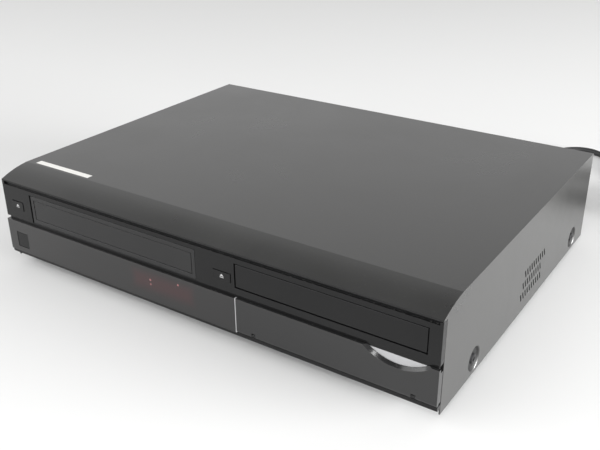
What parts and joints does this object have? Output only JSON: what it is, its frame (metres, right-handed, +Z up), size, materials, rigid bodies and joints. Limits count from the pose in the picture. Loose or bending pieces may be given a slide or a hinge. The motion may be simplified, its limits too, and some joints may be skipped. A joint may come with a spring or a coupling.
{
  "type": "disc and cassette recorder",
  "caption": "Flat black video recorder with a front-loading cassette door, a drawer disc drive, a hard disk, a drop-down socket flap and a mains cord.",
  "frame": {"origin": "middle of the case's width and depth, on the surface that the feet stand on, the mains cord left out", "axes": "+X to the right as seen from the front, +Y from the front to the rear, +Z up"},
  "size_m": [0.5325, 0.5847, 0.093],
  "materials": {
    "cover_steel": "satin black paint",
    "screw_steel": "black zinc",
    "zinc_steel": "zinc plated sheet",
    "foot_rubber": "matt",
    "front_plastic": "fine satin",
    "window_plastic": "smoked, glossy",
    "silver_trim": "silver lacquer",
    "circuit_board": "solder resist",
    "power_board": "bare laminate",
    "dark_plastic": "fine grain",
    "grey_plastic": "fine grain",
    "white_plastic": "smooth",
    "motor_steel": "nickel plated",
    "bright_steel": "ground and polished",
    "brass": "turned",
    "belt_rubber": "matt",
    "deck_steel": "yellow passivated zinc",
    "drum_aluminium": "fine turned",
    "disk_case": "cast and stamped",
    "cord_rubber": "matt"
  },
  "bodies": {
    "case": {"top_cover": "cover_steel", "cover_screws": "screw_steel", "chassis_base": "zinc_steel", "feet": "foot_rubber", "front_bezel": "front_plastic", "status_window": "window_plastic", "flap_insert": "silver_trim", "divider_strip": "silver_trim", "front_board": "circuit_board", "front_jacks": "dark_plastic", "drive_frame": "grey_plastic", "clamp_bridge": "zinc_steel", "tray_belt": "belt_rubber", "tray_motor": "motor_steel", "deck_plate": "deck_steel", "carriage_frame": "zinc_steel", "lower_drum": "drum_aluminium", "capstan_motor": "circuit_board", "tape_heads": "motor_steel", "loading_motor": "motor_steel", "main_board": "circuit_board", "power_board": "power_board", "hard_disk": "disk_case", "disk_bracket": "zinc_steel", "rear_panel": "zinc_steel", "rear_jacks": "dark_plastic", "fan_frame": "dark_plastic", "cord_gland": "cord_rubber", "power_cord": "cord_rubber", "cord_coil": "cord_rubber", "mains_plug": "cord_rubber"},
    "power": {"power_button": "front_plastic"},
    "eject": {"eject_button": "front_plastic"},
    "tray_key": {"tray_button": "front_plastic"},
    "door": {"cassette_door": "front_plastic"},
    "flap": {"front_flap": "front_plastic"},
    "tray": {"disc_tray": "dark_plastic", "tray_front": "front_plastic"},
    "drive_gear": {"tray_gear": "white_plastic"},
    "pulley": {"belt_pulley": "white_plastic"},
    "motor_wheel": {"motor_pulley": "brass"},
    "clamp": {"disc_clamp": "white_plastic"},
    "traverse": {"traverse_frame": "dark_plastic", "spindle_motor": "motor_steel"},
    "platter": {"turntable": "dark_plastic"},
    "sled": {"pickup_sled": "grey_plastic"},
    "screw": {"lead_screw": "bright_steel"},
    "slider": {"carriage_slider": "zinc_steel"},
    "holder": {"cassette_holder": "zinc_steel"},
    "drum": {"head_drum": "drum_aluminium"},
    "capstan_body": {"capstan": "bright_steel"},
    "pinch": {"pinch_arm": "motor_steel"},
    "roller": {"pinch_roller": "belt_rubber"},
    "supply": {"supply_reel": "white_plastic"},
    "takeup": {"takeup_reel": "white_plastic"},
    "guide_left": {"supply_guide": "bright_steel"},
    "guide_right": {"takeup_guide": "bright_steel"},
    "cam": {"cam_gear": "white_plastic"},
    "pinion": {"loading_pinion": "brass"},
    "fan": {"fan_rotor": "dark_plastic"}
  },
  "joints": [
    {"name": "power_press", "type": "slide", "parent": "case", "child": "power", "axis": [0, 1, 0], "range_m": [0, 0.001], "stiffness_N_per_m": 600},
    {"name": "eject_press", "type": "slide", "parent": "case", "child": "eject", "axis": [0, 1, 0], "range_m": [0, 0.001], "stiffness_N_per_m": 600},
    {"name": "tray_key_press", "type": "slide", "parent": "case", "child": "tray_key", "axis": [0, 1, 0], "range_m": [0, 0.001], "stiffness_N_per_m": 600},
    {"name": "door_hinge", "type": "hinge", "parent": "case", "child": "door", "pos_m": [-0.08575, -0.1623, 0.0821], "axis": [1, 0, 0], "range_deg": [0, 88], "stiffness_Nm_per_rad": 0.02},
    {"name": "flap_hinge", "type": "hinge", "parent": "case", "child": "flap", "pos_m": [0.13, -0.16705, 0.0195], "axis": [1, 0, 0], "range_deg": [0, 90]},
    {"name": "tray_slide", "type": "slide", "parent": "case", "child": "tray", "axis": [0, -1, 0], "range_m": [0, 0.135]},
    {"name": "tray_gear_turn", "type": "hinge", "parent": "case", "child": "drive_gear", "pos_m": [0.074, -0.1355, 0.058], "axis": [0, 0, 1], "range_deg": [-1, 861]},
    {"name": "pulley_turn", "type": "hinge", "parent": "case", "child": "pulley", "pos_m": [0.095, -0.1355, 0.05], "axis": [0, 0, 1], "range_deg": [-2753, 2]},
    {"name": "motor_turn", "type": "hinge", "parent": "case", "child": "motor_wheel", "pos_m": [0.136, -0.1355, 0.047], "axis": [0, 0, -1], "range_deg": [-3, 7567]},
    {"name": "clamp_turn", "type": "hinge", "parent": "case", "child": "clamp", "pos_m": [0.126, -0.0855, 0.074], "axis": [0, 0, 1], "continuous": true},
    {"name": "traverse_lift", "type": "hinge", "parent": "case", "child": "traverse", "pos_m": [0.126, 0.0085, 0.055], "axis": [-1, 0, 0], "range_deg": [0, 3]},
    {"name": "disc_turn", "type": "hinge", "parent": "traverse", "child": "platter", "pos_m": [0.126, -0.08563, 0.05507], "axis": [0, -0.0523, 0.9986], "continuous": true},
    {"name": "sled_slide", "type": "slide", "parent": "traverse", "child": "sled", "axis": [0, 0.9986, 0.0523], "range_m": [0, 0.034]},
    {"name": "screw_turn", "type": "hinge", "parent": "traverse", "child": "screw", "pos_m": [0.16, -0.04695, 0.04308], "axis": [0, 0.9986, 0.0523], "range_deg": [-3, 4083]},
    {"name": "cassette_travel", "type": "slide", "parent": "case", "child": "slider", "axis": [0, 1, 0], "range_m": [-0.062, 0]},
    {"name": "cassette_drop", "type": "slide", "parent": "slider", "child": "holder", "axis": [0, 0, -1], "range_m": [0, 0.022]},
    {"name": "drum_turn", "type": "hinge", "parent": "case", "child": "drum", "pos_m": [-0.08575, 0.0505, 0.028], "axis": [0, -0.1045, 0.9945], "continuous": true},
    {"name": "capstan_turn", "type": "hinge", "parent": "case", "child": "capstan_body", "pos_m": [-0.034, 0.0205, 0.03], "axis": [0, 0, 1], "continuous": true},
    {"name": "pinch_swing", "type": "hinge", "parent": "case", "child": "pinch", "pos_m": [0.008, 0.0185, 0.03], "axis": [0, 0, 1], "range_deg": [0, 30]},
    {"name": "roller_turn", "type": "hinge", "parent": "pinch", "child": "roller", "pos_m": [-0.0206, 0.0373, 0.04], "axis": [0, 0, 1], "continuous": true},
    {"name": "supply_turn", "type": "hinge", "parent": "case", "child": "supply", "pos_m": [-0.13175, -0.0495, 0.03], "axis": [0, 0, 1], "continuous": true},
    {"name": "takeup_turn", "type": "hinge", "parent": "case", "child": "takeup", "pos_m": [-0.03975, -0.0495, 0.03], "axis": [0, 0, 1], "continuous": true},
    {"name": "supply_guide_slide", "type": "slide", "parent": "case", "child": "guide_left", "axis": [-0.19, 0.9818, 0], "range_m": [0, 0.063]},
    {"name": "takeup_guide_slide", "type": "slide", "parent": "case", "child": "guide_right", "axis": [0.19, 0.9818, 0], "range_m": [0, 0.063]},
    {"name": "cam_turn", "type": "hinge", "parent": "case", "child": "cam", "pos_m": [-0.005, 0.0605, 0.027], "axis": [0, 0, 1], "range_deg": [-0.5, 300.5]},
    {"name": "pinion_turn", "type": "hinge", "parent": "case", "child": "pinion", "pos_m": [0.01197, 0.07747, 0.027], "axis": [0, 0, -1], "range_deg": [-1, 901.5]},
    {"name": "fan_turn", "type": "hinge", "parent": "case", "child": "fan", "pos_m": [0.145, 0.155, 0.055], "axis": [0, 1, 0], "continuous": true}
  ],
  "couplings": [
    {"joint": "tray_gear_turn", "follows": "tray_slide", "rad_per_m": 111.11},
    {"joint": "pulley_turn", "follows": "tray_slide", "rad_per_m": -355.56},
    {"joint": "motor_turn", "follows": "tray_slide", "rad_per_m": 977.78},
    {"joint": "screw_turn", "follows": "sled_slide", "rad_per_m": 2094.4},
    {"joint": "takeup_guide_slide", "follows": "supply_guide_slide", "ratio": 1},
    {"joint": "cam_turn", "follows": "supply_guide_slide", "rad_per_m": 83.111},
    {"joint": "pinion_turn", "follows": "supply_guide_slide", "rad_per_m": 249.33}
  ]
}
